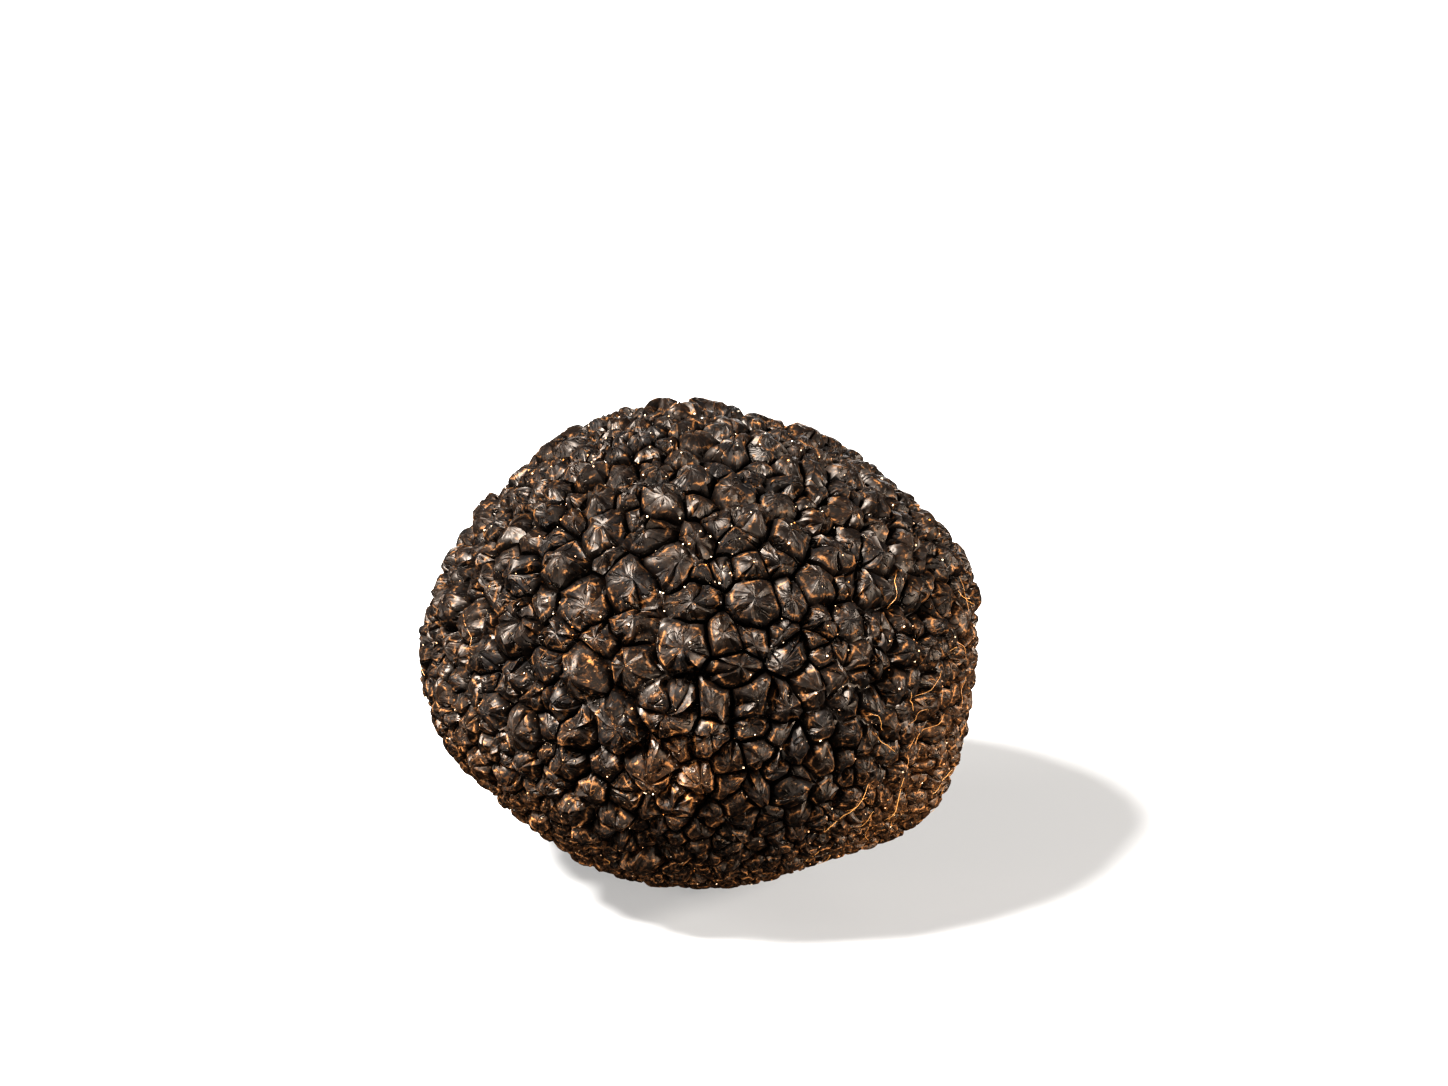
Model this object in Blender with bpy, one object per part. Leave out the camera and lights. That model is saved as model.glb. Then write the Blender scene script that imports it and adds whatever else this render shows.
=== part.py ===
"""A black truffle, about 56 mm across, lying on its small flat foot.

It grew as one piece, so it is one solid: a lumpy round body whose whole skin
is raised into warts, each a low many-sided pyramid between narrow grooves.

The body is an ellipsoid with lumps, hollows and a few long creases. The warts
are the cells of a net over it: every cell has a tip near its middle, and its
corners lie in the grooves that it shares with its neighbours. A wide wart also
has a shoulder ring between its tip and its corners, which makes it blunt.

Every point is a distance along a ray from the body's middle, so the skin
can't cross itself, and the foot is where those rays are cut off at the floor.
Lengths are in millimetres, and the finished mesh is written in metres.
"""

import math

import bmesh
import bpy
import numpy as np

# The body at the bottom of its grooves: half its width, depth and height.
BODY_HALF = np.array([26.7, 25.4, 23.2])
# Its middle stands a little lower over the floor than its half height, which leaves the foot.
BODY_MIDDLE = np.array([-0.3, -0.4, 22.4])

# Lumps and hollows: azimuth round from the front to the right and elevation, in
# degrees, then how far each spreads, in degrees, and how far it stands out.
LUMPS = {
    "crown": (207, 68, 24, 1.3),
    "crown_front": (-20, 78, 30, 0.6),
    "left_shoulder": (-90, 36, 24, -1.0),
    "right_shoulder": (100, 40, 12, -0.5),
    "right_brow": (98, 20, 21, 1.6),
    "right_cheek": (79, -26, 16, 1.2),
    "right_corner": (72, -36, 14, 1.0),
    "left_cheek": (-92, -2, 26, 0.4),
    "left_underside": (-100, -42, 22, -2.2),
    "left_fold": (-66, -38, 15, -1.8),
    "right_underside": (54, -56, 16, -1.6),
    "front_underside": (-30, -64, 30, -1.3),
    "front_cheek": (-20, 17, 15, 0.7),
    "front_brow": (6, 50, 16, 0.5),
    "front_pit": (-10, 39, 7, -1.0),
    "back_lobe": (160, 12, 34, 1.0),
    "back_fold": (205, -8, 14, -1.8),
    "back_shoulder": (235, 30, 26, 0.8),
    "back_pit": (172, 44, 9, -1.3),
}

# Long creases in the body: azimuth and elevation of one end, then of the other,
# and how wide, in degrees, and how deep each is.
CREASES = {
    "under_left": (-63, -16, -60, -54, 3.6, 1.3),
    "down_right": (55, 2, 63, -32, 3.4, 0.9),
    "across_right": (36, 27, 74, 17, 2.6, 0.6),
    "from_crown": (7, 62, 4, 35, 2.6, 0.6),
    "left_middle": (-43, 7, -20, 6, 2.6, 0.5),
    "low_front": (-13, -21, 0, -42, 3.4, 0.9),
    "back_left": (215, 40, 200, -30, 3.6, 1.2),
    "back_right": (130, 30, 150, -18, 3.0, 0.9),
    "over_top": (150, 60, 250, 72, 3.0, 0.7),
}

# Wart width, and where the warts are wider or finer, listed as the lumps are.
WART_WIDTH = 2.6
WART_PATCHES = {
    "broad_front": (-2, 15, 31, 1.85),
    "broad_crown": (0, 58, 36, 0.9),
    "broad_left": (-62, 28, 26, 0.9),
    "broad_right": (60, 35, 24, 0.5),
    "broad_back": (180, 5, 65, 1.25),
    "fine_left": (-80, -20, 26, -0.5),
    "fine_right": (78, -18, 28, -0.6),
    "fine_low_left": (-50, -34, 24, -0.75),
    "fine_low_right": (48, -32, 24, -0.75),
    "fine_low_front": (0, -52, 32, -0.95),
}
WIDTH_SPREAD = 0.28
NARROWEST_WART, WIDEST_WART = 1.5, 5.4
# Two warts stand at least this share of their widths apart, and this far from a crease.
PACKING = 0.41
CREASE_ROOM = 0.8

# Each wart's tip stands this share of its width over the groove, within limits,
# times a random factor between two values.
RISE_SHARE = 0.40
LEAST_RISE, MOST_RISE = 0.6, 1.6
RISE_FACTOR = (0.8, 1.15)
# A wart at least this wide has a shoulder ring, this far out and this high.
BLUNT_FROM = 2.9
SHOULDER_OUT, SHOULDER_RISE = 0.77, 0.84
# A tip stands off the middle of its wart by about this share of the width.
TIP_OFF = 0.08

# Places tried for a wart, and the least distance between two points of the skin.
SEED = 11
TRIED = 26000
CLOSEST_POINTS = 0.22
NEARLY_LEVEL = 1e-6

SKIN_COLOUR = (0.028, 0.021, 0.016, 1.0)
SKIN_ROUGHNESS = 0.55
MM = 0.001


def unit(vectors):
    return vectors / np.linalg.norm(vectors, axis=-1, keepdims=True)


def toward(azimuth, elevation):
    """The unit vector at that azimuth and elevation, in degrees. Azimuth 0 is the front, -Y."""
    a, e = math.radians(azimuth), math.radians(elevation)
    return np.array([math.sin(a) * math.cos(e), -math.cos(a) * math.cos(e), math.sin(e)])


def bumps(directions, table):
    """The sum of a table's round bumps, each falling off with the angle from its middle."""
    total = np.zeros(len(directions))
    for azimuth, elevation, spread, rise in table.values():
        angle = np.arccos(np.clip(directions @ toward(azimuth, elevation), -1, 1))
        total += rise * np.exp(-((angle / math.radians(spread)) ** 2))
    return total


def crease_angles(directions):
    """How far each direction is from the middle line of each crease, one column for each crease."""
    columns = []
    for azimuth_a, elevation_a, azimuth_b, elevation_b, _, _ in CREASES.values():
        a, b = toward(azimuth_a, elevation_a), toward(azimuth_b, elevation_b)
        along = np.clip((directions - a) @ (b - a) / ((b - a) @ (b - a)), 0, 1)
        nearest = unit(a + along[:, None] * (b - a))
        columns.append(np.linalg.norm(directions - nearest, axis=1))
    return np.stack(columns, axis=1)


def groove_radius(directions):
    """How far the bottom of the grooves is from the body's middle, before the foot is cut."""
    widths, depths = np.array([crease[4:] for crease in CREASES.values()]).T
    creases = np.exp(-((crease_angles(directions) / np.radians(widths)) ** 2)) @ depths
    return 1 / np.linalg.norm(directions / BODY_HALF, axis=1) + bumps(directions, LUMPS) - creases


def skin_points(directions, rise):
    """Points of the skin, rise above the groove level, cut off at the floor to make the foot."""
    downward = np.minimum(directions[:, 2], -NEARLY_LEVEL)
    to_floor = np.where(directions[:, 2] < 0, BODY_MIDDLE[2] / -downward, np.inf)
    return BODY_MIDDLE + directions * np.minimum(groove_radius(directions) + rise, to_floor)[:, None]


def wart_seeds(random):
    """Where each wart stands and how wide it is: a place is kept if the warts already there leave room."""
    tried = unit(random.normal(size=(TRIED, 3)))
    width = (WART_WIDTH + bumps(tried, WART_PATCHES)) * random.lognormal(0, WIDTH_SPREAD, TRIED)
    width = np.clip(width, NARROWEST_WART, WIDEST_WART)
    off_creases = crease_angles(tried).min(axis=1) * BODY_HALF.mean() > CREASE_ROOM
    points = skin_points(tried, 0)
    kept = []
    for i in np.flatnonzero(off_creases):
        apart = np.linalg.norm(points[kept] - points[i], axis=1)
        if (apart > PACKING * (width[kept] + width[i])).all():
            kept.append(i)
    return tried[kept], width[kept]


def cell_net(seeds, width):
    """A net of triangles over the seeds, whose face normals point at the cells' corners.

    It is the convex hull of the seeds' unit vectors. Lifting the seed of a wide wart
    a little moves its borders outwards, so that it keeps the larger cell.
    """
    half_angle = width / 2 / BODY_HALF.mean()
    net = bmesh.new()
    for place in seeds / np.cos(half_angle)[:, None]:
        net.verts.new(place)
    bmesh.ops.convex_hull(net, input=net.verts)
    bmesh.ops.recalc_face_normals(net, faces=net.faces)
    net.verts.index_update()
    net.faces.index_update()
    return net


def corners_around(vert):
    """The numbers of the net's faces round a seed, anticlockwise: the corners of its cell."""
    first = vert.link_loops[0]
    around = [first.face.index]
    loop = first.link_loop_prev.link_loop_radial_next
    while loop != first:
        around.append(loop.face.index)
        loop = loop.link_loop_prev.link_loop_radial_next
    return around


def warty_skin():
    """The whole skin as a bmesh, in millimetres: the corners first, then each wart's shoulder and tip."""
    random = np.random.default_rng(SEED)
    seeds, width = wart_seeds(random)
    net = cell_net(seeds, width)
    corners = unit(np.array([face.normal for face in net.faces]))
    rise = np.clip(RISE_SHARE * width, LEAST_RISE, MOST_RISE) * random.uniform(*RISE_FACTOR, len(seeds))
    lean = random.normal(size=seeds.shape) * (TIP_OFF * width / BODY_HALF.mean())[:, None]

    skin = bmesh.new()
    foot_of = [skin.verts.new(point) for point in skin_points(corners, 0)]
    for wart, vert in enumerate(net.verts):
        cell = corners_around(vert)
        tip_way = unit(unit(corners[cell].mean(axis=0)) + lean[wart])
        tip = skin.verts.new(skin_points(tip_way[None], rise[wart])[0])
        edge = [foot_of[corner] for corner in cell]
        if width[wart] >= BLUNT_FROM:
            ways = unit(tip_way + (corners[cell] - tip_way) * SHOULDER_OUT)
            shoulder = [skin.verts.new(p) for p in skin_points(ways, rise[wart] * SHOULDER_RISE)]
            for k in range(len(cell)):
                skin.faces.new((edge[k - 1], edge[k], shoulder[k], shoulder[k - 1]))
            edge = shoulder
        for k in range(len(cell)):
            skin.faces.new((edge[k - 1], edge[k], tip))
    net.free()
    bmesh.ops.remove_doubles(skin, verts=skin.verts, dist=CLOSEST_POINTS)
    return skin


def skin_material():
    material = bpy.data.materials.new("truffle_skin")
    material.use_nodes = True
    shader = material.node_tree.nodes["Principled BSDF"]
    shader.inputs["Base Color"].default_value = SKIN_COLOUR
    shader.inputs["Roughness"].default_value = SKIN_ROUGHNESS
    shader.inputs["Metallic"].default_value = 0.0
    return material


def make_truffle():
    skin = warty_skin()
    bmesh.ops.triangulate(skin, faces=skin.faces)
    bmesh.ops.scale(skin, verts=skin.verts, vec=(MM, MM, MM))
    mesh = bpy.data.meshes.new("truffle")
    skin.to_mesh(mesh)
    skin.free()
    mesh.materials.append(skin_material())
    truffle = bpy.data.objects.new("truffle", mesh)
    bpy.context.scene.collection.objects.link(truffle)
    return truffle


for old in list(bpy.data.objects):
    bpy.data.objects.remove(old)
make_truffle()
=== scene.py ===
import math

import bmesh
import bpy
import numpy as np
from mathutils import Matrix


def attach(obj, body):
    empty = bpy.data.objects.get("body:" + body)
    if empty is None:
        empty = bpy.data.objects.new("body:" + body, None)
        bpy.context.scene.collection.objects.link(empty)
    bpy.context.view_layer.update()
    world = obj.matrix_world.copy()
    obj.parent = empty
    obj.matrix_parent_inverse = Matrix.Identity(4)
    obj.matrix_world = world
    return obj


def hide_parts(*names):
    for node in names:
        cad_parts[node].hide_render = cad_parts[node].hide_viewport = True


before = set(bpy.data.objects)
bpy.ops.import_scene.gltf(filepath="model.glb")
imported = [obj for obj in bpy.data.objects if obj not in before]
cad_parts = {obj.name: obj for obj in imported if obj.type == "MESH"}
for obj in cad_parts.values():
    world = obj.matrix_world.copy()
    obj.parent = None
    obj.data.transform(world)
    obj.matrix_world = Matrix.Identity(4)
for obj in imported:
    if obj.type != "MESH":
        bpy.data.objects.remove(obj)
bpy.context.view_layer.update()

mm = 0.001  # shapes are worked out in millimetres and put into the meshes in metres


def unit(vectors):
    return vectors / np.linalg.norm(vectors, axis=-1, keepdims=True)


# unit vector at an azimuth and elevation in degrees: azimuth 0 is the front (-Y), 90 is +X
def toward(azimuth, elevation):
    a, e = math.radians(azimuth), math.radians(elevation)
    return np.array([math.sin(a) * math.cos(e), -math.cos(a) * math.cos(e), math.sin(e)])


# random values for the corners of unit cells, picked by mixing the corner's whole numbers
lattice = {
    "seed": 5,
    "count": 4096,  # a power of two
    "mix": np.array([73856093, 19349663, 83492791]),
    "layerMix": 2654435,
}
latticeValues = np.random.default_rng(lattice["seed"]).uniform(-1, 1, lattice["count"])


# smooth random numbers from -1 to 1: the values at the eight corners of each unit cell, blended
def noiseAt(points, layer=0):
    cell = np.floor(points).astype(np.int64)
    part = points - cell
    part = part * part * (3 - 2 * part)
    total = np.zeros(points.shape[:-1])
    for corner in np.ndindex(2, 2, 2):
        x, y, z = np.moveaxis((cell + corner) * lattice["mix"], -1, 0)
        picked = (x ^ y ^ (z + layer * lattice["layerMix"])) & (lattice["count"] - 1)
        total += latticeValues[picked] * np.prod(np.where(corner, part, 1 - part), axis=-1)
    return total


# the lumpy body at the bottom of its grooves, the same as the solid's
body = {
    "half": np.array([26.7, 25.4, 23.2]),
    "middle": np.array([-0.3, -0.4, 22.4]),
    # azimuth, elevation and spread in degrees, and how far it stands out
    "lumps": {
        "crown": (207, 68, 24, 1.3),
        "crownFront": (-20, 78, 30, 0.6),
        "leftShoulder": (-90, 36, 24, -1.0),
        "rightShoulder": (100, 40, 12, -0.5),
        "rightBrow": (98, 20, 21, 1.6),
        "rightCheek": (79, -26, 16, 1.2),
        "rightCorner": (72, -36, 14, 1.0),
        "leftCheek": (-92, -2, 26, 0.4),
        "leftUnderside": (-100, -42, 22, -2.2),
        "leftFold": (-66, -38, 15, -1.8),
        "rightUnderside": (54, -56, 16, -1.6),
        "frontUnderside": (-30, -64, 30, -1.3),
        "frontCheek": (-20, 17, 15, 0.7),
        "frontBrow": (6, 50, 16, 0.5),
        "frontPit": (-10, 39, 7, -1.0),
        "backLobe": (160, 12, 34, 1.0),
        "backFold": (205, -8, 14, -1.8),
        "backShoulder": (235, 30, 26, 0.8),
        "backPit": (172, 44, 9, -1.3),
    },
    # azimuth and elevation of both ends, then width in degrees and depth
    "creases": {
        "underLeft": (-63, -16, -60, -54, 3.6, 1.3),
        "downRight": (55, 2, 63, -32, 3.4, 0.9),
        "acrossRight": (36, 27, 74, 17, 2.6, 0.6),
        "fromCrown": (7, 62, 4, 35, 2.6, 0.6),
        "leftMiddle": (-43, 7, -20, 6, 2.6, 0.5),
        "lowFront": (-13, -21, 0, -42, 3.4, 0.9),
        "backLeft": (215, 40, 200, -30, 3.6, 1.2),
        "backRight": (130, 30, 150, -18, 3.0, 0.9),
        "overTop": (150, 60, 250, 72, 3.0, 0.7),
    },
    "nearlyLevel": 1e-6,
}
meanRadius = body["half"].mean()


# sum over a table's rows of rise * exp(-(angle from the row's middle / spread)^2)
def bumps(ways, table):
    total = np.zeros(ways.shape[:-1])
    for azimuth, elevation, spread, rise in table.values():
        angle = np.arccos(np.clip(ways @ toward(azimuth, elevation), -1, 1))
        total += rise * np.exp(-((angle / math.radians(spread)) ** 2))
    return total


# how far each direction lies from the middle line of each crease, one column a crease
def creaseAngles(ways):
    columns = []
    for azimuthA, elevationA, azimuthB, elevationB, _, _ in body["creases"].values():
        a, b = toward(azimuthA, elevationA), toward(azimuthB, elevationB)
        along = np.clip((ways - a) @ (b - a) / ((b - a) @ (b - a)), 0, 1)
        columns.append(np.linalg.norm(ways - unit(a + along[..., None] * (b - a)), axis=-1))
    return np.stack(columns, axis=-1)


# ellipsoid plus lumps less creases: the distance of the groove bottoms from the middle
def grooveRadius(ways):
    widths, depths = np.array([crease[4:] for crease in body["creases"].values()]).T
    creases = np.exp(-((creaseAngles(ways) / np.radians(widths)) ** 2)) @ depths
    return 1 / np.linalg.norm(ways / body["half"], axis=-1) + bumps(ways, body["lumps"]) - creases


# middle + way * (groove radius + rise), cut off at the floor
def skinPoints(ways, rise):
    downward = np.minimum(ways[..., 2], -body["nearlyLevel"])
    toFloor = np.where(ways[..., 2] < 0, body["middle"][2] / -downward, np.inf)
    return body["middle"] + ways * np.minimum(grooveRadius(ways) + rise, toFloor)[..., None]


# where the warts stand and how wide they are, the same draws as the solid's
warts = {
    "seed": 11,
    "tried": 26000,
    "width": 2.6,
    # where they are wider or finer, listed as the lumps are
    "patches": {
        "broadFront": (-2, 15, 31, 1.85),
        "broadCrown": (0, 58, 36, 0.9),
        "broadLeft": (-62, 28, 26, 0.9),
        "broadRight": (60, 35, 24, 0.5),
        "broadBack": (180, 5, 65, 1.25),
        "fineLeft": (-80, -20, 26, -0.5),
        "fineRight": (78, -18, 28, -0.6),
        "fineLowLeft": (-50, -34, 24, -0.75),
        "fineLowRight": (48, -32, 24, -0.75),
        "fineLowFront": (0, -52, 32, -0.95),
    },
    "widthSpread": 0.28,
    "widthLimits": (1.5, 5.4),
    "packing": 0.41,
    "creaseRoom": 0.8,
    "riseShare": 0.40,
    "riseLimits": (0.6, 1.6),
    "riseFactor": (0.8, 1.15),
    "tipOff": 0.08,
}


# a place tried is kept where the warts already there leave it room
def wartSeeds(random):
    tried = unit(random.normal(size=(warts["tried"], 3)))
    width = warts["width"] + bumps(tried, warts["patches"])
    width = width * random.lognormal(0, warts["widthSpread"], warts["tried"])
    width = np.clip(width, *warts["widthLimits"])
    offCreases = creaseAngles(tried).min(axis=1) * meanRadius > warts["creaseRoom"]
    points = skinPoints(tried, 0)
    kept = []
    for i in np.flatnonzero(offCreases):
        apart = np.linalg.norm(points[kept] - points[i], axis=1)
        if (apart > warts["packing"] * (width[kept] + width[i])).all():
            kept.append(i)
    return tried[kept], width[kept]


# the net over the warts: hull triangles (three warts each) and their normals, the cells' corners
def cellNet(seeds, width):
    lifted = seeds / np.cos(width / 2 / meanRadius)[:, None]
    mesh = bpy.data.meshes.new("net")
    mesh.from_pydata(lifted, [], [])
    net = bmesh.new()
    net.from_mesh(mesh)
    bmesh.ops.convex_hull(net, input=net.verts)
    bmesh.ops.recalc_face_normals(net, faces=net.faces)
    net.to_mesh(mesh)
    net.free()
    triangles = np.empty(len(mesh.polygons) * 3, np.int32)
    normals = np.empty(len(mesh.polygons) * 3, np.float32)
    mesh.loops.foreach_get("vertex_index", triangles)
    mesh.polygons.foreach_get("normal", normals)
    bpy.data.meshes.remove(mesh)
    return triangles.reshape(-1, 3).astype(np.int64), unit(normals.reshape(-1, 3).astype(float))


# Each wart is a polar grid: spokes from its tip to points on its border, and rings at the
# shares s of each spoke. q is s, raised where the border is far from the tip, so that warts are
# rounder than their cells. A ring point stands over the grooves by rise * ((1 - topFall * s) *
# dome + (fold - slit) * bulge + tilt), with dome = (1 - q^wallPower)^wallRound and bulge =
# s * (1 - s^borderPower) * swell. Knobs and roughness are added, and high tops pressed down.
relief = {
    "seed": 23,
    "rings": np.array([0.26, 0.54, 0.76, 0.9]),
    "spokeStep": 0.72,  # the border is cut into pieces about this long
    "mostSteps": 6,
    "rounder": 0.35,
    "topFall": (0.15, 0.55),
    "wallPower": (2.0, 3.3),  # for warts of the two widths below, so that small ones are rounder
    "wallWidths": (1.9, 4.4),
    "wallRound": 0.9,
    "borderPower": 6,
    "tipRise": 0.86,
    "tipSpread": (-0.12, 0.08),
    # grooves, and smooth places where they are shallow
    "grooveDepth": 0.65,
    "shallowSize": 1.6,
    "shallowGain": 1.8,
    "shallowRise": 0.3,
    # folds and pits, as shares of the wart's rise
    "ridge": (0.08, 0.34),
    "crack": (0.1, 0.45),
    "relaxRounds": 12,
    "swell": 1.2,
    "slitChance": 0.4,
    "slit": (0.2, 0.6),
    "pitChance": 0.14,
    "pit": (0.3, 0.7),
    "pitAtRing": 0.55,
    "tilt": 0.09,
    "tiltPower": 4,
    # how far spokes turn round the tip, and how fast that dies out
    "swirlSeed": 24,
    "swirl": 0.3,
    "swirlPower": 1.5,
    # lumps, higher on high warts: times (rise - knobFrom) / knobSpan, from leastKnobs to 1
    "knobSize": 1.2,
    "knobMiddle": 0.375,
    "knobRise": 0.72,
    "knobFrom": 0.65,
    "knobSpan": 0.8,
    "leastKnobs": 0.15,
    "knobAtBorder": 0.1,
    "roughSize": 0.5,
    "roughRise": 0.07,
    # what stands over the first share of the rise keeps the second share of its height
    "level": (0.82, 0.35),
    "borderLevel": 9,  # higher than any border, so that none is pressed down
    "warpSize": (2.4, 1.0),
    "warp": (0.42, 0.27),
    "sharpAngle": 34,
}
ringCount = len(relief["rings"])

# what the skin's material reads at each point, and the grain that it reads at each face corner
marks = {
    # shallow, pit and crack set how much painted shade the grooves, pits and cracks get
    "shallow": 0.45,
    "pit": 0.8,
    # ridge and edge place pale crests, partly wear and partly painted highlight
    "ridge": (0.3, 1.4),
    "ridgeTip": 0.6,
    "crack": 0.2,
    "crackGain": 2.2,
    "edge": (0.7, 1.0),
    "edgeTip": 0.5,
    "grainAxis": [0.3, 0.2, 0.9],
    "grainRound": 2.2,
    "grainOut": 1.2,
    # the noise's place differs from wart to wart by this step, within the span
    "grainStep": 3.7,
    "grainSpan": 97,
}


# shifts directions sideways by smooth noise of two sizes, so that borders and ridges wander
def warped(ways):
    shift = np.zeros_like(ways)
    for size, warp in zip(relief["warpSize"], relief["warp"]):
        places = ways * meanRadius / size
        shift += np.stack([noiseAt(places, layer) for layer in (1, 2, 3)], axis=-1) * warp
    return unit(ways + shift / meanRadius)


# writes one number for each point of a mesh, from parts joined in the order of the points
def addMark(mesh, name, parts):
    values = np.concatenate(parts).astype(np.float32)
    mesh.attributes.new(name, "FLOAT", "POINT").data.foreach_set("value", values)


def buildSkin():
    random = np.random.default_rng(warts["seed"])
    seeds, width = wartSeeds(random)
    triangles, corners = cellNet(seeds, width)
    rise = np.clip(warts["riseShare"] * width, *warts["riseLimits"])
    rise = rise * random.uniform(*warts["riseFactor"], len(seeds))
    lean = random.normal(size=seeds.shape) * (warts["tipOff"] * width / meanRadius)[:, None]
    print("warts:", len(seeds))

    # wedge h of wart a runs anticlockwise from the corner of the twin's triangle to its own
    a = triangles.ravel()
    b = triangles[:, [1, 2, 0]].ravel()
    wedges = np.arange(len(a))
    key = a * len(seeds) + b
    order = np.argsort(key)
    twin = order[np.searchsorted(key[order], b * len(seeds) + a)]
    fromCorner, toCorner = twin // 3, wedges // 3
    following = twin[toCorner * 3 + (wedges + 2) % 3]

    # border points: the corners first, then those along each border, which two warts share
    cornerPoints = skinPoints(corners, 0)
    length = np.linalg.norm(cornerPoints[fromCorner] - cornerPoints[toCorner], axis=1)
    steps = np.clip(np.ceil(length / relief["spokeStep"]), 1, relief["mostSteps"]).astype(int)
    owner = np.minimum(wedges, twin)
    inside = np.where(owner == wedges, steps - 1, 0)
    firstInside = len(corners) + np.cumsum(inside) - inside
    spokeWedge = np.repeat(wedges, steps)
    firstSpoke = np.cumsum(steps) - steps
    spokes = np.arange(len(spokeWedge))
    step = spokes - firstSpoke[spokeWedge]
    last = step + 1 == steps[spokeWedge]
    nextSpoke = np.where(last, firstSpoke[following[spokeWedge]], spokes + 1)
    share = step / steps[spokeWedge]
    mine = owner[spokeWedge] == spokeWedge
    along = np.where(mine, step, steps[spokeWedge] - step) - 1
    border = np.where(step == 0, fromCorner[spokeWedge], firstInside[owner[spokeWedge]] + along)
    borderWays = np.empty((len(corners) + inside.sum(), 3))
    borderWays[: len(corners)] = corners
    start, end = corners[fromCorner[spokeWedge]], corners[toCorner[spokeWedge]]
    borderWays[border] = unit(start + (end - start) * share[:, None])

    # tips, then the spokes' directions ring by ring, turned a little round the tip
    wart = a[spokeWedge]
    middle = np.zeros_like(seeds)
    np.add.at(middle, a, corners[toCorner])
    tipWays = unit(unit(middle) + lean)
    s = relief["rings"][None, :]
    tipOf, edgeOf = tipWays[wart][:, None], borderWays[border][:, None]
    ringWays = unit(tipOf + (edgeOf - tipOf) * s[..., None])
    swirl = np.random.default_rng(relief["swirlSeed"]).normal(0, relief["swirl"], len(seeds))[wart]
    swirl = swirl[:, None] * (1 - s) ** relief["swirlPower"]
    sideways = np.cross(tipOf, ringWays - tipOf)
    ringWays = unit(ringWays + sideways * swirl[..., None])

    # heights over the grooves: a spoke whose random value is the most of five is a ridge, one
    # with the least is a crack, and those between them relax onto straight facets
    random = np.random.default_rng(relief["seed"])
    count = len(seeds)
    topFall = random.uniform(*relief["topFall"], count)
    pitted = random.random(count) < relief["pitChance"]
    pit = pitted * random.uniform(*relief["pit"], count)
    tilt = random.normal(size=(count, 3)) * relief["tilt"]
    tone = random.uniform(-1, 1, count)
    before = np.empty_like(nextSpoke)
    before[nextSpoke] = spokes
    value = random.random(len(spokes))
    near = value[[before[before], before, nextSpoke, nextSpoke[nextSpoke]]]
    ridged, cracked = value > near.max(axis=0), value < near.min(axis=0)
    fold = np.where(ridged, random.uniform(*relief["ridge"], len(spokes)), 0)
    fold = np.where(cracked, -random.uniform(*relief["crack"], len(spokes)), fold)
    for _ in range(relief["relaxRounds"]):
        fold = np.where(ridged | cracked, fold, (fold[before] + fold[nextSpoke]) / 2)
    slit = cracked * (random.random(len(spokes)) < relief["slitChance"])
    slit = slit * random.uniform(*relief["slit"], len(spokes))

    outward = borderWays[border] - tipWays[wart]
    reach = np.linalg.norm(outward, axis=1)
    meanReach = np.bincount(wart, reach) / np.bincount(wart)
    stretch = 1 + relief["rounder"] * (reach / meanReach[wart] - 1)
    q = np.clip(s * (1 + (stretch[:, None] - 1) * s), 0, 1)
    wallPower = np.interp(width, relief["wallWidths"], relief["wallPower"])[wart][:, None]
    dome = (1 - q**wallPower) ** relief["wallRound"]
    offBorder = 1 - s ** relief["borderPower"]
    bulge = s * offBorder * relief["swell"]  # nothing at the tip and the border, most past the middle
    height = (1 - topFall[wart][:, None] * s) * dome + (fold - slit)[:, None] * bulge
    sideways = (ringWays - tipOf) / (width[wart] / 2 / meanRadius)[:, None, None]
    height += np.einsum("srk,sk->sr", sideways, tilt[wart]) * (1 - s ** relief["tiltPower"])
    height[:, 0] -= relief["pitAtRing"] * pit[wart]
    ringRise = height * rise[wart][:, None]
    tipRise = rise * (relief["tipRise"] - pit + random.uniform(*relief["tipSpread"], count))

    # every point, in the order border, rings, tips; what stands over the level is pressed down
    ways = warped(np.concatenate([borderWays, ringWays.reshape(-1, 3), tipWays]))
    shallow = relief["shallowGain"] * noiseAt(borderWays * meanRadius / relief["shallowSize"], 8)
    shallow = np.clip(shallow, 0, 1)
    grooveRise = -relief["grooveDepth"] * (1 - shallow) + shallow * relief["shallowRise"]
    stands = np.concatenate([grooveRise, ringRise.ravel(), tipRise])
    level, past = relief["level"]
    atBorder = np.full(len(borderWays), relief["borderLevel"])
    level = level * np.concatenate([atBorder, np.repeat(rise[wart], ringCount), rise])
    places = ways * meanRadius
    big = np.clip((rise - relief["knobFrom"]) / relief["knobSpan"], relief["leastKnobs"], 1)
    held = offBorder * big[wart][:, None]
    held = np.concatenate([np.full(len(borderWays), relief["knobAtBorder"]), held.ravel(), big])
    knobs = (np.abs(noiseAt(places / relief["knobSize"], 4)) - relief["knobMiddle"]) * relief["knobRise"]
    rough = noiseAt(places / relief["roughSize"], 5) * relief["roughRise"]
    stands = stands + (knobs + rough) * held
    stands = np.where(stands > level, level + (stands - level) * past, stands)
    points = skinPoints(ways, stands)

    # faces: each wart's fan of triangles, then quads from ring to ring out to the border
    firstRing = len(borderWays) + spokes * ringCount
    nextRing = firstRing[nextSpoke]
    tipIndex = len(borderWays) + len(spokes) * ringCount + wart
    fans = np.stack([tipIndex, firstRing, nextRing], axis=1)
    quads = [
        np.stack([firstRing + r, firstRing + r + 1, nextRing + r + 1, nextRing + r], axis=1)
        for r in range(ringCount - 1)
    ]
    outer = ringCount - 1
    quads.append(np.stack([firstRing + outer, border, border[nextSpoke], nextRing + outer], axis=1))
    quads = np.concatenate(quads)

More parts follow.
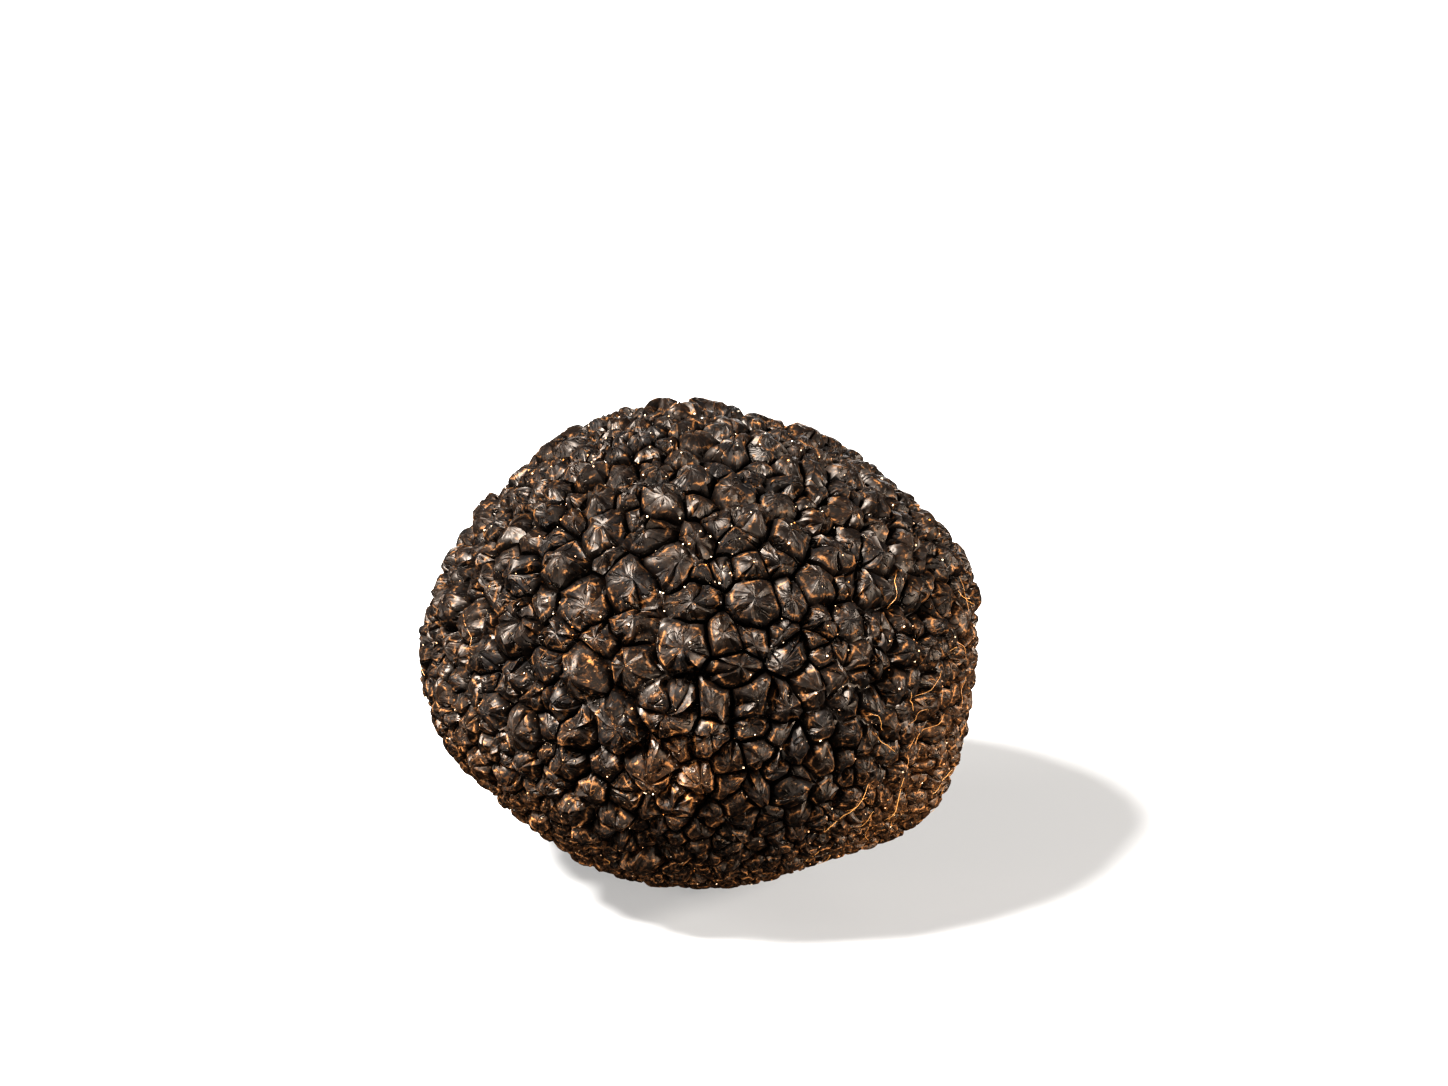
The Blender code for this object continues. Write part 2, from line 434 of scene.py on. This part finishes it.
    mesh = bpy.data.meshes.new("truffleSkin")
    mesh.vertices.add(len(points))
    mesh.vertices.foreach_set("co", (points * mm).ravel())
    mesh.loops.add(fans.size + quads.size)
    mesh.loops.foreach_set("vertex_index", np.concatenate([fans.ravel(), quads.ravel()]).astype(np.int32))
    mesh.polygons.add(len(fans) + len(quads))
    fanStarts = np.arange(len(fans)) * 3
    quadStarts = fans.size + np.arange(len(quads)) * 4
    mesh.polygons.foreach_set("loop_start", np.concatenate([fanStarts, quadStarts]).astype(np.int32))
    mesh.update(calc_edges=True)
    mesh.validate()
    mesh.shade_smooth()
    mesh.set_sharp_from_angle(angle=math.radians(relief["sharpAngle"]))

    # edges along ridges and cracks are crisp
    spokeOf = np.full(len(points), -1)
    spokeOf[len(borderWays) : -count] = np.repeat(spokes, ringCount)
    crisp = np.append(ridged | cracked, False)  # the last, which -1 picks, is for borders and tips
    ends = np.empty(len(mesh.edges) * 2, np.int32)
    mesh.edges.foreach_get("vertices", ends)
    first, second = spokeOf[ends.reshape(-1, 2)].T
    alongSpoke = (first == second) & crisp[first]
    sharp = np.empty(len(mesh.edges), bool)
    mesh.edges.foreach_get("use_edge_sharp", sharp)
    mesh.edges.foreach_set("use_edge_sharp", sharp | alongSpoke)

    # what the material reads at each point
    flat = np.zeros(len(borderWays))
    half = shallow * marks["shallow"]
    ridgeHere = ridged[:, None] * bulge * random.uniform(*marks["ridge"], (len(spokes), 1))
    crackHere = (slit + marks["crack"] * cracked)[:, None] * bulge * marks["crackGain"]
    edgeHere = ridged * random.uniform(*marks["edge"], len(spokes))
    # rise low and crack high where the material paints shade: grooves, pits, cracks and slits
    addMark(mesh, "rise", (half, dome.ravel(), 1 - pit * marks["pit"]))
    addMark(mesh, "ridge", (flat, ridgeHere.ravel(), marks["ridgeTip"] * (1 - pitted)))
    addMark(mesh, "crack", (flat, crackHere.ravel(), pitted))
    addMark(mesh, "tone", (flat, np.repeat(tone[wart], ringCount), tone))
    addMark(mesh, "edge", (flat, np.repeat(edgeHere, ringCount), marks["edgeTip"] * (1 - pitted)))
    addMark(mesh, "dust", (np.clip(bumps(ways, dustPatches), 0, 1),))

    # and at each corner: the way round the wart, so that wrinkles run from its tip to its border
    sideAxis = unit(np.cross(tipWays, marks["grainAxis"]))
    upAxis = np.cross(tipWays, sideAxis)
    around = [(outward * axis[wart]).sum(axis=1) for axis in (sideAxis, upAxis)]
    around = unit(np.stack(around, axis=1))
    after = around[nextSpoke]
    fanWays = np.stack([unit(around + after), around, after], axis=1).reshape(-1, 2)
    quadWays = np.stack([around, around, after, after], axis=1).reshape(-1, 2)
    out = np.append(relief["rings"], 1)
    fanOut = np.tile([0, out[0], out[0]], len(spokes))
    quadOut = [np.tile([out[r], out[r + 1], out[r + 1], out[r]], len(spokes)) for r in range(ringCount)]
    wartOf = np.concatenate([np.repeat(wart, 3), np.tile(np.repeat(wart, 4), ringCount)])
    grain = np.empty((fans.size + quads.size, 3))
    grain[:, :2] = np.concatenate([fanWays, np.tile(quadWays, (ringCount, 1))]) * marks["grainRound"]
    grain[:, 2] = wartOf * marks["grainStep"] % marks["grainSpan"]
    grain[:, 2] += np.concatenate([fanOut, *quadOut]) * marks["grainOut"]
    attribute = mesh.attributes.new("grain", "FLOAT_VECTOR", "CORNER")
    attribute.data.foreach_set("vector", grain.astype(np.float32).ravel())
    print("skin triangles:", len(fans) + 2 * len(quads))
    return mesh


# where brown soil clings, listed as the lumps are, from 0 to 1
dustPatches = {
    "frontLow": (-3, -3, 12, 0.8),
    "lowerLeft": (-55, -28, 26, 0.8),
    "lowerRight": (60, -22, 26, 0.75),
    "rightRim": (85, 5, 22, 0.5),
    "frontCheek": (-22, 22, 12, 0.35),
    "underside": (0, -70, 40, 0.7),
    "backLow": (190, -25, 35, 0.6),
    "backHigh": (150, 40, 25, 0.3),
}


# adds a node, sets what is named and links or sets its inputs
def addNode(tree, kind, inputs=None, **settings):
    node = tree.nodes.new(kind)
    for name, value in settings.items():
        setattr(node, name, value)
    for name, value in (inputs or {}).items():
        if isinstance(value, bpy.types.NodeSocket):
            tree.links.new(value, node.inputs[name])
        else:
            node.inputs[name].default_value = value
    return node


def mathNode(tree, operation, first, second=0.0, third=0.0, clamp=False):
    inputs = {0: first, 1: second, 2: third}
    return addNode(tree, "ShaderNodeMath", inputs, operation=operation, use_clamp=clamp).outputs[0]


# maps low..high onto 0..1, clamped
def fade(tree, value, low, high):
    inputs = {"Value": value, "From Min": low, "From Max": high}
    return addNode(tree, "ShaderNodeMapRange", inputs).outputs["Result"]


def blend(tree, share, first, second):
    inputs = {0: share, 6: first, 7: second}
    return addNode(tree, "ShaderNodeMix", inputs, data_type="RGBA").outputs[2]


def noiseNode(tree, coordinates, size, detail, roughness=0.5, distortion=0.0):
    inputs = {
        "Vector": coordinates,
        "Scale": 1 / size,
        "Detail": detail,
        "Roughness": roughness,
        "Distortion": distortion,
    }
    return addNode(tree, "ShaderNodeTexNoise", inputs).outputs


def mark(tree, name):
    return addNode(tree, "ShaderNodeAttribute", attribute_name=name).outputs["Fac"]


skinLook = {
    # painted shade: the near-black that grooves, cracks, splits and pits get where shade falls
    "groove": (0.001, 0.0006, 0.0004, 1),
    "grooveSoil": (0.05, 0.02, 0.006, 1),
    "facet": (0.0035, 0.0024, 0.002, 1),
    "coolFacet": (0.004, 0.0042, 0.0048, 1),
    "warmFacet": (0.012, 0.0062, 0.0034, 1),
    "soil": (0.045, 0.0205, 0.0078, 1),
    # pale tan of ridges, lines and rims: partly wear, partly painted highlight
    "ridge": (0.4, 0.19, 0.07, 1),
    # painted glints: pale specks scattered over the skin
    "paintedGlint": (0.6, 0.42, 0.25, 1),
    "roughness": (0.38, 0.58),
    "grooveRoughness": 0.34,
    "specular": 0.25,
    "specularTint": (1.0, 0.88, 0.78, 1),
    # size, detail, roughness and distortion of the noises
    "broad": (4.0 * mm, 3, 0.6),
    "patchy": (1.1 * mm, 5, 0.65),
    "fine": (0.45 * mm, 6, 0.7, 0.6),
    "glintNoise": (0.18 * mm, 3, 0.6),
    "fineBump": (0.6 * mm, 1),
    "stray": (1.8 * mm, 1),
    "wrinkle": (1, 1),
    "strayReach": (1.7, 1.7, 0.8),
    "crumbSize": 1.6 * mm,
    "crumbSmoothness": 0.35,
    # the values between which each colour comes in
    "fades": {
        "warm": (0.45, 0.75),
        "cool": (0.45, 0.65),
        "soil": (0.57, 0.7),
        "grooveSoil": (0.58, 0.72),
        # raised, crack and split set where the painted shade of grooves, cracks, splits and pits comes in
        "raised": (0.05, 0.48),
        "crack": (0.3, 1.0),
        "split": (0.035, 0.006),
        "splitPlaces": (0.42, 0.55),
        "line": (0.016, 0.003),
        "linePlaces": (0.6, 0.76),
        "edge": (0.76, 0.95),
        "edgePlaces": (0.44, 0.62),
        "rim": (0.09, 0.015),
        "rimPlaces": (0.66, 0.79),
        "high": (0.25, 0.6),
        "paintedGlint": (0.71, 0.76),
    },
    # how much more each shows where there is dust
    "dust": {"soil": 0.18, "grooveSoil": 0.12, "line": 0.1, "wearAndHighlight": 0.5, "rim": 0.025, "paintedGlint": 0.05},
    "toneWarmth": 0.06,
    # splits, which get painted shade, and pale lines, partly wear and partly painted highlight, run where
    # the wrinkle noise crosses a level
    "splitLevel": 0.43,
    "splitShade": 0.85,
    "lineLevel": 0.53,
    "lineOnRidge": 0.14,
    "wearAndHighlight": 0.35,
    # and pale rims, partly wear and partly painted highlight, where the rise and a share of the fine noise
    # add up to a level
    "rimLevel": 0.865,
    "rimStray": 0.45,
    "rimFine": 0.35,
    # strength and depth of the bumps
    "bumps": {
        "wrinkle": (0.5, 0.32 * mm),
        "split": (0.7, -0.25 * mm),
        "crumbs": (0.35, -0.16 * mm),
        "fineBump": (0.5, 0.09 * mm),
    },
}


def skinMaterial():
    material = bpy.data.materials.new("truffleSkin")
    material.use_nodes = True
    tree = material.node_tree
    shader = tree.nodes["Principled BSDF"]
    look = skinLook

    def shown(name, value):
        return fade(tree, value, *look["fades"][name])

    def dusted(name, value):
        return mathNode(tree, "MULTIPLY_ADD", dust, look["dust"][name], value)

    def times(first, second):
        return mathNode(tree, "MULTIPLY", first, second)

    def offLevel(value, level):
        return mathNode(tree, "ABSOLUTE", mathNode(tree, "SUBTRACT", value, level))

    at = addNode(tree, "ShaderNodeTexCoord").outputs["Object"]
    grain = addNode(tree, "ShaderNodeAttribute", attribute_name="grain").outputs["Vector"]
    stray = noiseNode(tree, at, *look["stray"])["Color"]
    inputs = {0: stray, 1: look["strayReach"], 2: grain}
    grain = addNode(tree, "ShaderNodeVectorMath", inputs, operation="MULTIPLY_ADD").outputs["Vector"]
    wrinkle = noiseNode(tree, grain, *look["wrinkle"])["Fac"]
    broad, patchy, fine, glintNoise, fineBump = (
        noiseNode(tree, at, *look[name])["Fac"] for name in ("broad", "patchy", "fine", "glintNoise", "fineBump")
    )
    rise, ridge, crack, tone, dust, edge = (
        mark(tree, name) for name in ("rise", "ridge", "crack", "tone", "dust", "edge")
    )

    # facets warm and cool, soil on them, and painted shade darkening grooves, cracks, splits and pits,
    # with soil in dusty grooves
    colour = blend(tree, shown("cool", broad), look["facet"], look["coolFacet"])
    warmth = shown("warm", mathNode(tree, "MULTIPLY_ADD", tone, look["toneWarmth"], patchy))
    colour = blend(tree, warmth, colour, look["warmFacet"])
    colour = blend(tree, shown("soil", dusted("soil", fine)), colour, look["soil"])
    grooveSoil = shown("grooveSoil", dusted("grooveSoil", fine))
    grooveShadeAndSoil = blend(tree, grooveSoil, look["groove"], look["grooveSoil"])
    split = times(shown("split", offLevel(wrinkle, look["splitLevel"])), shown("splitPlaces", broad))
    # raised is 0 where the painted shade goes: grooves, cracks, splits and pits
    raised = mathNode(tree, "SUBTRACT", shown("raised", rise), shown("crack", crack), clamp=True)
    raised = mathNode(tree, "SUBTRACT", raised, times(split, look["splitShade"]), clamp=True)
    colour = blend(tree, raised, grooveShadeAndSoil, colour)

    # thin pale lines, partly wear and partly painted highlight: where the wrinkle noise crosses a level,
    # along ridges and round the tops
    places = mathNode(tree, "MULTIPLY_ADD", ridge, look["lineOnRidge"], dusted("line", patchy))
    line = times(shown("line", offLevel(wrinkle, look["lineLevel"])), shown("linePlaces", places))
    onEdge = times(shown("edge", edge), shown("edgePlaces", patchy))
    top = mathNode(tree, "MULTIPLY_ADD", fine, look["rimStray"], rise)
    places = mathNode(tree, "MULTIPLY_ADD", fine, look["rimFine"], dusted("rim", patchy))
    rim = times(shown("rim", offLevel(top, look["rimLevel"])), shown("rimPlaces", places))
    wearAndHighlight = dusted("wearAndHighlight", look["wearAndHighlight"])
    crest = mathNode(tree, "MAXIMUM", line, times(onEdge, wearAndHighlight))
    crest = mathNode(tree, "MAXIMUM", crest, times(rim, wearAndHighlight))
    # pale tan crests on the high parts: partly wear, partly painted highlight
    colour = blend(tree, times(crest, shown("high", rise)), colour, look["ridge"])
    # painted glints: pale specks where the glint noise is high, more where there is dust
    colour = blend(tree, shown("paintedGlint", dusted("paintedGlint", glintNoise)), colour, look["paintedGlint"])
    tree.links.new(colour, shader.inputs["Base Color"])

    low, high = look["roughness"]
    roughness = addNode(tree, "ShaderNodeMapRange", {"Value": patchy, "To Min": low, "To Max": high})
    inputs = {0: raised, 2: look["grooveRoughness"], 3: roughness.outputs["Result"]}
    tree.links.new(addNode(tree, "ShaderNodeMix", inputs).outputs[0], shader.inputs["Roughness"])
    shader.inputs["Specular IOR Level"].default_value = look["specular"]
    shader.inputs["Specular Tint"].default_value = look["specularTint"]

    # wrinkles, splits, crumbs and fine grains, one bump over the other
    inputs = {"Vector": at, "Scale": 1 / look["crumbSize"], "Smoothness": look["crumbSmoothness"]}
    crumbs = addNode(tree, "ShaderNodeTexVoronoi", inputs, feature="SMOOTH_F1").outputs["Distance"]
    heights = {"wrinkle": wrinkle, "split": split, "crumbs": crumbs, "fineBump": fineBump}
    normal = None
    for name, (strength, depth) in look["bumps"].items():
        inputs = {"Strength": strength, "Distance": depth, "Height": heights[name]}
        if normal:
            inputs["Normal"] = normal
        normal = addNode(tree, "ShaderNodeBump", inputs).outputs["Normal"]
    tree.links.new(normal, shader.inputs["Normal"])
    return material


def placed(name, mesh, material):
    piece = bpy.data.objects.new(name, mesh)
    mesh.materials.append(material)
    bpy.context.scene.collection.objects.link(piece)
    return piece


skin = placed("truffleSkin", buildSkin(), skinMaterial())
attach(skin, "root")
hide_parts("truffle")
print("skin made")

skinPlaces = np.empty(len(skin.data.vertices) * 3)
skin.data.vertices.foreach_get("co", skinPlaces)
skinPlaces = skinPlaces.reshape(-1, 3) / mm
skinOut = skinPlaces - body["middle"]
skinReach = np.linalg.norm(skinOut, axis=1)
skinWays = unit(skinOut)


# small glinting soil grains stuck to the skin: squashed, turned icosahedra, more of them where
# the skin faces the given azimuth and elevation
grains = {
    "seed": 31,
    "count": 520,
    "radius": (0.05, 0.13),
    "squash": (0.6, 1.2),
    "sunk": 0.2,
    "facing": (10, 45),
    "leastWeight": 0.5,
    "lowest": 2,
    "colours": ((0.85, 0.72, 0.55, 1), (0.5, 0.2, 0.05, 1)),
    "roughness": 0.25,
}


def meshOf(name, points, faces, tones):
    mesh = bpy.data.meshes.new(name)
    mesh.from_pydata((points * mm).tolist(), [], faces)
    mesh.update()
    mesh.validate()
    addMark(mesh, "tone", (tones,))
    return mesh


# an icosahedron of radius 1: the hull of the points (0, 1, golden) with all signs and turns
def icosahedron():
    golden = (1 + math.sqrt(5)) / 2
    ends = [(a, b * golden) for a in (-1, 1) for b in (-1, 1)]
    places = [(0, a, b) for a, b in ends] + [(a, b, 0) for a, b in ends] + [(b, 0, a) for a, b in ends]
    net = bmesh.new()
    for place in unit(np.array(places)):
        net.verts.new(place)
    bmesh.ops.convex_hull(net, input=net.verts)
    bmesh.ops.recalc_face_normals(net, faces=net.faces)
    net.verts.index_update()
    faces = np.array([[vert.index for vert in face.verts] for face in net.faces])
    shape = np.array([vert.co for vert in net.verts])
    net.free()
    return shape, faces


def buildGrains():
    random = np.random.default_rng(grains["seed"])
    shape, faces = icosahedron()
    count = grains["count"]
    weight = grains["leastWeight"] + np.clip(skinWays @ toward(*grains["facing"]), 0, 1)
    weight = weight * (skinPlaces[:, 2] > grains["lowest"])
    at = random.choice(len(skinPlaces), count, replace=False, p=weight / weight.sum())
    radius = random.uniform(*grains["radius"], count)
    turns, _ = np.linalg.qr(random.normal(size=(count, 3, 3)))
    turns *= np.linalg.det(turns)[:, None, None]
    squashed = shape[None] * random.uniform(*grains["squash"], (count, 1, 3)) * radius[:, None, None]
    middle = skinPlaces[at] + skinWays[at] * (radius * grains["sunk"])[:, None]
    points = np.einsum("gvk,gjk->gvj", squashed, turns) + middle[:, None]
    faces = faces[None] + (np.arange(count) * len(shape))[:, None, None]
    tones = np.repeat(random.uniform(0, 1, count), len(shape))
    return meshOf("soilGrains", points.reshape(-1, 3), faces.reshape(-1, 3).tolist(), tones)


# golden root hairs over the skin: thin five-sided tubes from one place to another, by azimuth
# and elevation in degrees, and their thickness
hairs = {
    "seed": 37,
    "long": [
        (31.6, -22.9, 39.7, -11.5, 0.1),
        (51.1, -25.4, 51.5, -13.4, 0.09),
        (54.8, -6.8, 62.5, -2.0, 0.09),
        (35.6, -17.9, 40.6, -14.9, 0.06),
        (41.5, -24.5, 45.4, -21.1, 0.06),
    ],
    "short": 38,
    "shortAzimuths": [-60, 50, 68, 72, 78, 150, 215],
    "azimuthSpread": 18,
    "shortElevations": (-40, 25),
    "shortReach": (4, 10),
    "shortThickness": (0.05, 0.08),
    "steps": 24,
    "sides": 5,
    # a hair wanders sideways by this, times the share plus the stretch times its length
    "wander": 0.34,
    "wanderShare": 0.5,
    "wanderStretch": 25 / 6,
    "bends": 3,
    "rowStep": 5.3,
    # it lies on the highest skin this near, a little sunk, smoothed over so many steps
    "near": 0.45,
    "sunk": 0.12,
    "smoothing": 5,
    # its thickness is endShare plus the rest times the square root of sin(pi * (low + span * t))
    "endShare": 0.35,
    "endAngles": (0.08, 0.84),
    "colours": ((0.55, 0.3, 0.1, 1), (0.35, 0.16, 0.05, 1)),
    "roughness": 0.4,
}


def hairRows(random):
    rows = list(hairs["long"])
    for _ in range(hairs["short"]):
        azimuth = random.choice(hairs["shortAzimuths"]) + random.normal() * hairs["azimuthSpread"]
        elevation = random.uniform(*hairs["shortElevations"])
        turn, reach = random.uniform(0, math.tau), random.uniform(*hairs["shortReach"])
        end = azimuth + reach * math.cos(turn), elevation + reach * math.sin(turn)
        rows.append((azimuth, elevation, *end, random.uniform(*hairs["shortThickness"])))
    return rows


# a hair's middle line: the way from a to b shifted sideways by noise, on top of the warts
def hairLine(row, a, b):
    t = np.linspace(0, 1, hairs["steps"])
    places = np.stack([t * hairs["bends"], t * 0 + row * hairs["rowStep"], t * 0], axis=1)
    wander = noiseAt(places, 7) * hairs["wander"]
    wander = wander * (hairs["wanderShare"] + np.linalg.norm(b - a) * hairs["wanderStretch"])
    ways = unit(a + (b - a) * t[:, None] + unit(np.cross(a, b)) * (wander / meanRadius)[:, None])
    near = ways @ skinWays.T > math.cos(hairs["near"] / meanRadius)
    reach = np.where(near, skinReach, 0).max(axis=1)
    window = hairs["smoothing"]
    padded = np.pad(reach, window // 2, mode="edge")
    reach = np.max([padded[k : k + len(t)] for k in range(window)], axis=0) - hairs["sunk"]
    reach = np.convolve(np.pad(reach, window // 2, mode="edge"), np.ones(window) / window, "valid")
    return ways, body["middle"] + ways * reach[:, None]


def buildHairs():
    random = np.random.default_rng(hairs["seed"])
    steps, sides = hairs["steps"], hairs["sides"]
    ring = np.arange(steps)[:, None] * sides
    side = np.arange(sides)[None, :]
    after = (side + 1) % sides
    tube = np.stack([ring[:-1] + side, ring[:-1] + after, ring[1:] + after, ring[1:] + side])
    tube = tube.transpose(1, 2, 0).reshape(-1, 4)
    low, span = hairs["endAngles"]
    taper = np.sin(np.pi * (low + span * np.linspace(0, 1, steps))) ** 0.5
    taper = (hairs["endShare"] + (1 - hairs["endShare"]) * taper)[:, None, None]
    angle = (side * math.tau / sides)[..., None]
    points, faces, tones = [], [], []
    for row, (azimuthA, elevationA, azimuthB, elevationB, thickness) in enumerate(hairRows(random)):
        ways, middle = hairLine(row, toward(azimuthA, elevationA), toward(azimuthB, elevationB))
        forward = unit(np.gradient(middle, axis=0))
        across = unit(np.cross(forward, ways))
        up = np.cross(across, forward)
        section = across[:, None] * np.cos(angle) + up[:, None] * np.sin(angle)
        first = sum(len(part) for part in points)
        points.append((middle[:, None] + section * taper * thickness / 2).reshape(-1, 3))
        points.append(middle[[0, -1]])
        faces += (tube + first).tolist()
        for end, centre, order in ((0, 0, 1), (steps - 1, 1, -1)):
            around = first + end * sides + np.arange(sides)
            hub = first + steps * sides + centre
            pairs = np.stack([around, np.roll(around, -1)], axis=1)[:, ::order]
            faces += [[hub, int(q), int(p)] for p, q in pairs]
        tones.append(np.full(steps * sides + 2, random.uniform(0, 1)))
    mesh = meshOf("rootHairs", np.concatenate(points), faces, np.concatenate(tones))
    mesh.shade_smooth()
    return mesh


# two colours blended by the piece's own tone
def tonedMaterial(name, look):
    material = bpy.data.materials.new(name)
    material.use_nodes = True
    tree = material.node_tree
    shader = tree.nodes["Principled BSDF"]
    tree.links.new(blend(tree, mark(tree, "tone"), *look["colours"]), shader.inputs["Base Color"])
    shader.inputs["Roughness"].default_value = look["roughness"]
    return material


soilGrains = placed("soilGrains", buildGrains(), tonedMaterial("soilGrains", grains))
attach(soilGrains, "root")
rootHairs = placed("rootHairs", buildHairs(), tonedMaterial("rootHairs", hairs))
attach(rootHairs, "root")
print("grains and hairs made")


# the studio: a pale floor, a soft key light at the upper left, and weak lights in front, behind,
# at both sides and low down
studio = {
    "floor": (0.26, 0.26, 0.26, 1),
    "floorRoughness": 0.9,
    "floorGlow": 0.3,
    "floorHalf": 3.0,
    "world": (0.95, 0.97, 1.0, 1),
    "worldStrength": 0.001,
    "aim": np.array([0, 0, 0.02]),
    # place, size and power of each light, and its colour
    "lights": {
        "key": ((-0.45, -0.22, 0.68), 0.2, 43.0, (1.0, 0.98, 0.96)),
        "fill": ((0.5, -0.6, 0.3), 0.2, 1.4, (1.0, 0.97, 0.94)),
        "back": ((0.1, 0.8, 0.14), 0.3, 1.2, (1.0, 0.98, 0.96)),
        "rimRight": ((0.6, 0.0, 0.2), 0.12, 5.4, (1.0, 0.94, 0.88)),
        "lowRight": ((0.6, -0.28, 0.04), 0.1, 5.2, (1.0, 0.9, 0.78)),
        "lowLeft": ((-0.6, -0.26, 0.06), 0.1, 1.2, (1.0, 0.9, 0.78)),
        "lowFront": ((0.1, -0.65, 0.02), 0.1, 2.8, (1.0, 0.92, 0.84)),
        "rimLeft": ((-0.6, 0.0, 0.2), 0.2, 1.6, (1.0, 0.94, 0.88)),
    },
}


def makeStudio():
    half = studio["floorHalf"]
    mesh = bpy.data.meshes.new("floor")
    corners = [(-half, -half, 0), (half, -half, 0), (half, half, 0), (-half, half, 0)]
    mesh.from_pydata(corners, [], [(0, 1, 2, 3)])
    material = bpy.data.materials.new("paleFloor")
    material.use_nodes = True
    shader = material.node_tree.nodes["Principled BSDF"]
    shader.inputs["Base Color"].default_value = studio["floor"]
    shader.inputs["Roughness"].default_value = studio["floorRoughness"]
    shader.inputs["Emission Color"].default_value = (1, 1, 1, 1)
    shader.inputs["Emission Strength"].default_value = studio["floorGlow"]
    floor = placed("floor", mesh, material)
    floor.visible_glossy = False  # the skin's gloss shows the lights alone
    for name, (place, size, power, colour) in studio["lights"].items():
        light = bpy.data.lights.new(name, "AREA")
        light.shape = "DISK"
        light.size = size
        light.energy = power
        light.color = colour
        lamp = bpy.data.objects.new(name, light)
        lamp.location = place
        aim = studio["aim"] - place
        lamp.rotation_euler = (math.acos(-unit(aim)[2]), 0, math.atan2(aim[1], aim[0]) - math.pi / 2)
        bpy.context.scene.collection.objects.link(lamp)
    world = bpy.data.worlds.new("studio")
    world.use_nodes = True
    background = world.node_tree.nodes["Background"]
    background.inputs["Color"].default_value = studio["world"]
    background.inputs["Strength"].default_value = studio["worldStrength"]
    bpy.context.scene.world = world
    bpy.context.scene.view_settings.view_transform = "Standard"
    bpy.context.scene.view_settings.look = "High Contrast"


# the camera: 20 degrees above the front, with the truffle a little left of the frame's middle
view = {
    "lens": 105,
    "nearest": 0.01,
    "distance": 422.3,
    "elevation": 20,
    "aim": np.array([2.35, 3.5, 33.2]),
}


def makeCamera():
    data = bpy.data.cameras.new("camera")
    data.lens = view["lens"]
    data.clip_start = view["nearest"]
    camera = bpy.data.objects.new("camera", data)
    place = view["aim"] + toward(0, view["elevation"]) * view["distance"]
    camera.location = place * mm
    camera.rotation_euler = (math.radians(90 - view["elevation"]), 0, 0)
    bpy.context.scene.collection.objects.link(camera)
    bpy.context.scene.camera = camera


makeStudio()
makeCamera()
print("studio made")
